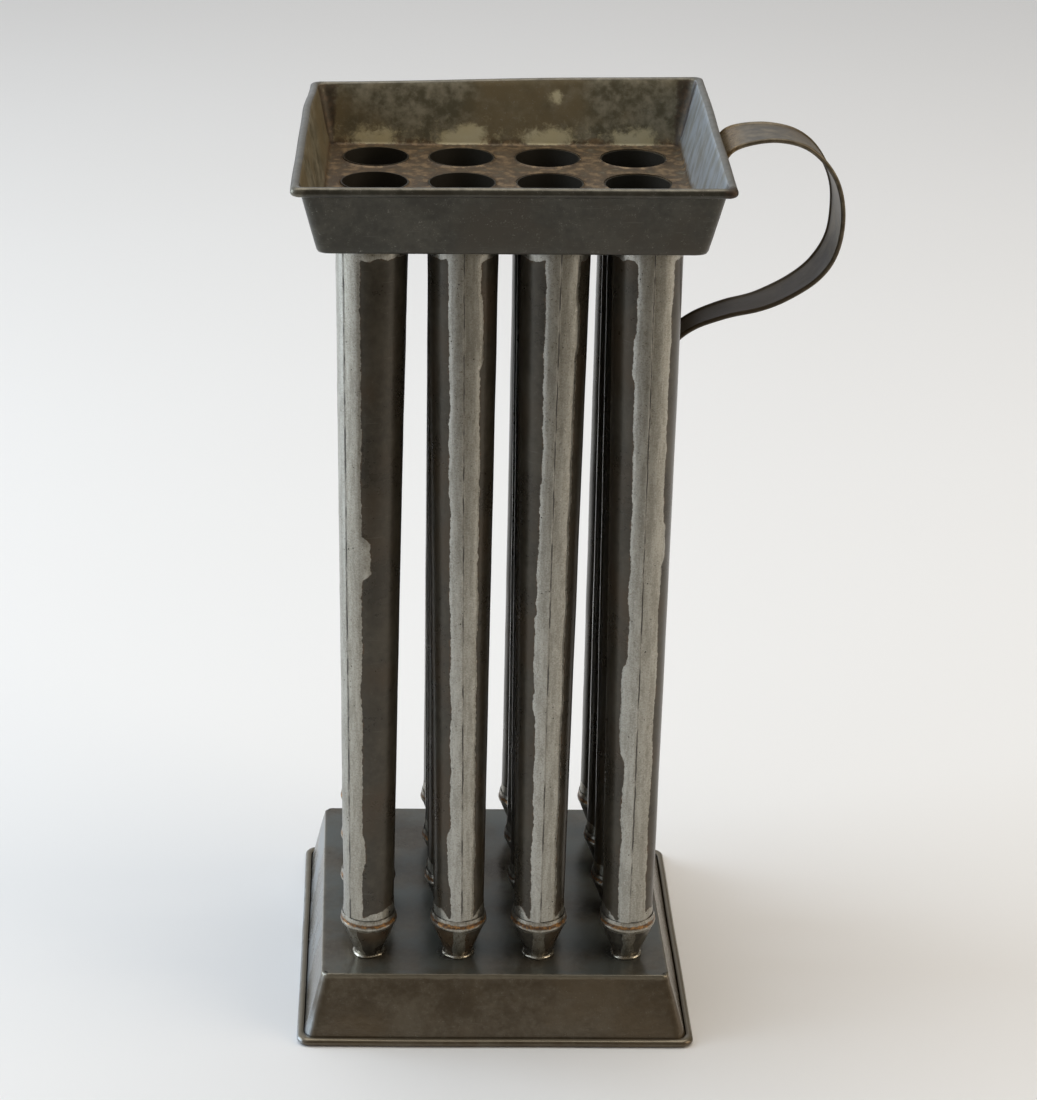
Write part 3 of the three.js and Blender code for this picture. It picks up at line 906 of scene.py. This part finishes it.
def trayMarks(pan, low, high):
    marks = {name: [] for name in ("waxSide", "bareTinAndSheen", "floorRust", "waxSplash", "foldWearAndHighlight", "creaseDirtAndShade")}
    dripX, dripUp = trayLook["drip"]
    for p, walk in zip(pan.points, pan.walk):
        inside = 1.0 if walk < 0.4 else 0.0
        square = max(abs(p.x), abs(p.y))
        isFloor = square < 55.2 and walk < 0.2 and p.z < low + 1.2
        gap = nearestHole(p.x, p.y) - trayLook["holeRadius"] if isFloor else 9.0
        marks["waxSide"].append(inside)
        # inner right wall: bare tin with a painted bluish sheen
        marks["bareTinAndSheen"].append(inside * smoothStep(54.6, 56.5, p.x) * (1 if abs(p.y) < p.x - 0.5 else 0))
        marks["floorRust"].append((0.7 + 0.2 * exp(-gap / 1.5)) if isFloor else
                                  inside * 0.85 * exp(-max(0.0, p.z - low - 0.6) / 3.2))
        onBack = inside * smoothStep(50, 56, p.y) * (0 if isFloor else 1)
        behindHole = abs(((p.x + gridPitch * 2) % gridPitch) - gridPitch / 2)
        amount = trayLook["splash"][min(int((p.x + gridPitch * 2) / gridPitch), 3)]
        lift = 2.5 * ripple(p.x / 7, 3.1)
        height = smoothStep(low + 9 + lift, low + 3 + lift, p.z)
        splash = amount * onBack * smoothStep(12, 3, behindHole) * height
        haze = 0.36 * onBack * smoothStep(low + 15, low + 3, p.z)
        drip = onBack * exp(-((p.x - dripX) ** 2 + (p.z - low - dripUp) ** 2) / 6)
        marks["waxSplash"].append(max(splash, haze, drip) if walk < 0.4 else -0.5)
        # top of the bead and the pinched front left corner: wear and a painted highlight
        bead = smoothStep(high - 1.1, high - 0.2, p.z) * (1 if 0.4 < walk < 0.55 else 0)
        pinch = smoothStep(57, 61, -p.x) * smoothStep(57, 61, -p.y) * smoothStep(high - 4, high - 2, p.z)
        marks["foldWearAndHighlight"].append(max(-1.0 + 1.15 * bead, -1.0 + 1.9 * pinch))
        # painted shade on the outside just under the bead
        shadeUnderBead = exp(-abs(p.z - (high - 3.0)) / 0.6) if walk > 0.55 else 0
        # inside corners darker, more so toward the bottom; rust at the front right corner
        corner = smoothStep(52, 56, min(abs(p.x), abs(p.y))) * inside
        rusty = smoothStep(56, 61, p.x) * smoothStep(56, 61, -p.y) * smoothStep(high - 5, high - 2, p.z)
        deep = corner * (0.75 + 0.3 * smoothStep(high, low, p.z))
        marks["creaseDirtAndShade"].append(max(0.75 * shadeUnderBead, deep, 0.75 * rusty))
    return marks


def buildBase():
    look, sheet = baseLook, panLook["sheet"]
    fold, rim, bead = look["foldCorner"], look["rimCorner"], look["beadRadius"]
    high = baseHigh.z / mm
    wireHalf = look["rimHalf"] - bead
    wireZ = bead - 0.13
    outerFace, wireFace = curl(wireHalf, wireZ, bead, -1)
    topHalf = look["topHalf"]
    outline = [(topHalf - 0.4, high, fold), (topHalf - 0.12, high - 0.1, fold), (topHalf, high - 0.4, fold)]
    rows = look["rows"]
    outerWall = wallLine((topHalf + 0.15, high - 1.0), wireFace[0], rows)
    outline += [(h, z, fold + (rim - fold) * k / rows) for k, (h, z) in enumerate(outerWall)]
    walks = [0.05] * len(outline)
    beadLine = wireFace[1:] + outerFace[::-1]
    outline += [(h, z, rim) for h, z in beadLine]
    walks += [0.6] * len(wireFace[1:]) + [0.5] * len(outerFace)
    innerWall = wallLine(outerFace[0], (topHalf - sheet, high - sheet - 0.8), rows)[1:]
    outline += [(h, z, fold) for h, z in innerWall]
    outline += [(topHalf - sheet - 0.1, high - sheet, fold)]
    walks += [0.95] * (len(innerWall) + 1)
    pan = foldPan(look, (high, high - sheet), footShift, outline, walks)
    marks = {"foldWearAndHighlight": [], "creaseDirtAndShade": []}
    for p, walk in zip(pan.points, pan.walk):
        square = max(abs(p.x), abs(p.y))
        onTop = 1 if walk < 0.4 else 0
        # crest of the plate's fold and upper half of the bead: wear and a painted highlight line
        crest = 0.5 - abs(square - topHalf) if onTop and p.z > high - 1.2 else -2.0
        ridge = 0.35 if 0.4 < walk < 0.55 and p.z > bead * 1.5 else -2.0
        marks["foldWearAndHighlight"].append(max(crest, ridge))
        # painted shade and grime: darker in the crease above the bead and round each tip's foot
        crease = exp(-abs(p.z - 3.2) / 0.9) if onTop else 0
        ring = exp(-max(0.0, nearestHole(p.x, p.y) - 4.6) / 0.9) if onTop and p.z > high - 0.1 else 0
        marks["creaseDirtAndShade"].append(0.8 * max(crease, 0.75 * ring))
    points = [baseWarp(p) for p in pan.points]
    piece = meshPiece("baseFolded", points, pan.faces, marks, sharpAngle=50)
    dress(piece, baseTin, "base_tinplate", "base_pan")
    wireRadius = bead - sheet - 0.08
    buildWire("baseWire", wireHalf, wireZ, wireRadius, rim, baseWarp, "rim_wire", "base_rim_wire")


buildTray()
buildBase()
print("pans folded")


# strap handle
strapLook = {
    "route": (                         # distance from the centre line and height, tray end first
        (60.2, 264.5), (61.4, 270.5), (63.1, 275.3), (65.6, 279.2), (71, 281.2), (79, 281.8), (87, 280.1),
        (93.2, 275.5), (97.8, 268), (99.7, 259), (98.7, 248), (94.5, 240), (87, 233.6), (77, 228.7),
        (66.5, 225.8), (57.5, 222), (51.3, 216.6), (48.4, 209.5), (47.5, 201)),
    "wideHalf": 14.0, "neckHalf": 11.0, "narrowHalf": 5.0, "neckShare": 0.24,
    "sheet": 0.5, "hem": 0.72, "steps": 190,
    "length": 178, "patches": (23, 168),   # solder up to the first length and from the second on
}


def splinePoints(knots, perSpan=24):
    knots = [Vector((x, 0, z)) for x, z in knots]
    ends = [knots[0] * 2 - knots[1]] + knots + [knots[-1] * 2 - knots[-2]]
    points = []
    for i in range(1, len(ends) - 2):
        before, here, there, after = ends[i - 1:i + 3]
        for k in range(perSpan):
            t = k / perSpan
            squared = 2 * before - 5 * here + 4 * there - after
            cubed = 3 * here - before - 3 * there + after
            points.append(0.5 * ((2 * here) + (there - before) * t + squared * t * t + cubed * t ** 3))
    return points + [knots[-1]]


def evenPoints(points, count):
    lengths = [0.0]
    for a, b in zip(points, points[1:]):
        lengths.append(lengths[-1] + (b - a).length)
    result, k = [], 0
    for i in range(count + 1):
        goal = lengths[-1] * i / count
        while k < len(points) - 2 and lengths[k + 1] < goal:
            k += 1
        share = (goal - lengths[k]) / max(lengths[k + 1] - lengths[k], 1e-9)
        result.append(points[k].lerp(points[k + 1], min(share, 1.0)))
    return result


def strapSection(half):    # flat sheet with a rolled hem along each edge
    hem, flat = strapLook["hem"], strapLook["sheet"] / 2
    bend = half - hem
    hemPoints = []
    for k in range(11):
        angle = radians(-155 + 310 * k / 10)
        hemPoints.append((bend + hem * cos(angle), hem * sin(angle)))
    inner = half - 2 * hem - 0.5
    across = [inner * s for s in (1.0, 0.6, 0.2, -0.2, -0.6, -1.0)]
    top = [(a, flat) for a in across]
    return hemPoints + top + [(-a, -u) for a, u in hemPoints] + [(-a, -flat) for a in across]


def buildStrap():
    look = strapLook
    centres = evenPoints(splinePoints(look["route"]), look["steps"])
    topPatch, footPatch = look["patches"]
    points, edge, dirt = [], [], []
    last = look["steps"]
    for i, centre in enumerate(centres):
        share = i / last
        before, after = centres[max(i - 1, 0)], centres[min(i + 1, last)]
        along = (after - before).normalized()
        up = Vector((-along.z, 0, along.x))
        if share < look["neckShare"]:
            narrowing = smoothStep(0, 1, share / look["neckShare"])
            half = look["wideHalf"] + (look["neckHalf"] - look["wideHalf"]) * narrowing
        else:
            taper = (share - look["neckShare"]) / (1 - look["neckShare"])
            half = look["neckHalf"] + (look["narrowHalf"] - look["neckHalf"]) * taper
        half += 0.25 * ripple(share * 9, 4.4)
        tilt = -0.07 * sin(pi * share)
        for a, u in strapSection(half):
            sag = 0.25 * ripple(a / 9, share * 12, 6.1)
            points.append(centre + up * (u + sag + a * tilt) + Vector((0, a, 0)))
            fromHem = abs(abs(a) - (half - 2 * look["hem"] - 0.2))
            dirt.append(0.72 * exp(-fromHem / 0.45))
            length = share * look["length"]
            edge.append(max(topPatch - length + 1.5 * ripple(a / 5, 2.7), length - footPatch))
    count = len(strapSection(half))
    faces = ringFaces(last + 1, count)
    faces += [tuple(range(count)), tuple(range(last * count, (last + 1) * count))]
    marks = {"solderEdge": edge, "creaseDirtAndShade": dirt}
    piece = meshPiece("strapHemmed", points, faces, marks, sharpAngle=50)
    dress(piece, strapTin, "strap_tinplate", "handle_strap")


buildStrap()
print("strap bent")


# floor and light
stageLook = {
    "floorColour": (0.80, 0.795, 0.785, 1),
    "floorFront": -0.42, "floorBack": 4.5, "floorHalf": 3.0,
    "frontWorld": (0.17, 0.15, 0.12, 1), "windowWorld": (0.7, 0.745, 0.82, 1),
    "window": {"place": (-1.3, 0.15, 0.55), "size": 1.1, "power": 16.5, "colour": (0.74, 0.87, 1.0)},
    "overhead": {"place": (0.1, 0.3, 2.0), "size": 1.8, "power": 20.5, "colour": (1.0, 0.96, 0.9)},
    "fill": {"place": (1.3, -0.35, 0.8), "size": 1.0, "power": 8.5, "colour": (1.0, 0.86, 0.68)},
}


def buildFloor():
    mesh = bpy.data.meshes.new("floor")
    work = bmesh.new()
    front, back, half = stageLook["floorFront"], stageLook["floorBack"], stageLook["floorHalf"]
    corners = [(-half, front, 0), (half, front, 0), (half, back, 0), (-half, back, 0)]
    work.faces.new([work.verts.new(c) for c in corners])
    work.to_mesh(mesh)
    work.free()
    floor = addObject("floor", mesh)
    material = bpy.data.materials.new("paleFloor")
    material.use_nodes = True
    tree = material.node_tree
    shader = tree.nodes["Principled BSDF"]
    tone = grainy(tree, millimetres(tree), 400.0, 2.0)
    colour = mixColour(tree, tone, stageLook["floorColour"], (0.82, 0.82, 0.82, 1))
    tree.links.new(colour, shader.inputs["Base Color"])
    shader.inputs["Roughness"].default_value = 0.7
    mesh.materials.append(material)


def addSoftbox(name, look):
    data = bpy.data.lights.new(name, "AREA")
    data.shape = "SQUARE"
    data.size = look["size"]
    data.energy = look["power"]
    data.color = look["colour"]
    lamp = addObject(name, data)
    spot = Vector(look["place"])
    lamp.location = spot
    aim = Vector((middle.x, middle.y, 0.12)) - spot
    lamp.rotation_euler = aim.to_track_quat("-Z", "Y").to_euler()


def setWorld():
    world = bpy.data.worlds.new("studio")
    world.use_nodes = True
    tree = world.node_tree
    way = addNode(tree, "ShaderNodeTexCoord").outputs["Generated"]
    back = times(tree, axisOf(tree, way, "Y"), 0.5)
    toward = maths(tree, "SUBTRACT", back, axisOf(tree, way, "X"))
    glow = mixColour(tree, span(tree, toward, -0.3, 0.9), stageLook["frontWorld"], stageLook["windowWorld"])
    tree.links.new(glow, tree.nodes["Background"].inputs["Color"])
    bpy.context.scene.world = world


buildFloor()
for name in ("window", "overhead", "fill"):
    addSoftbox(name, stageLook[name])
setWorld()
bpy.context.scene.view_settings.view_transform = "Standard"
print("stage lit")
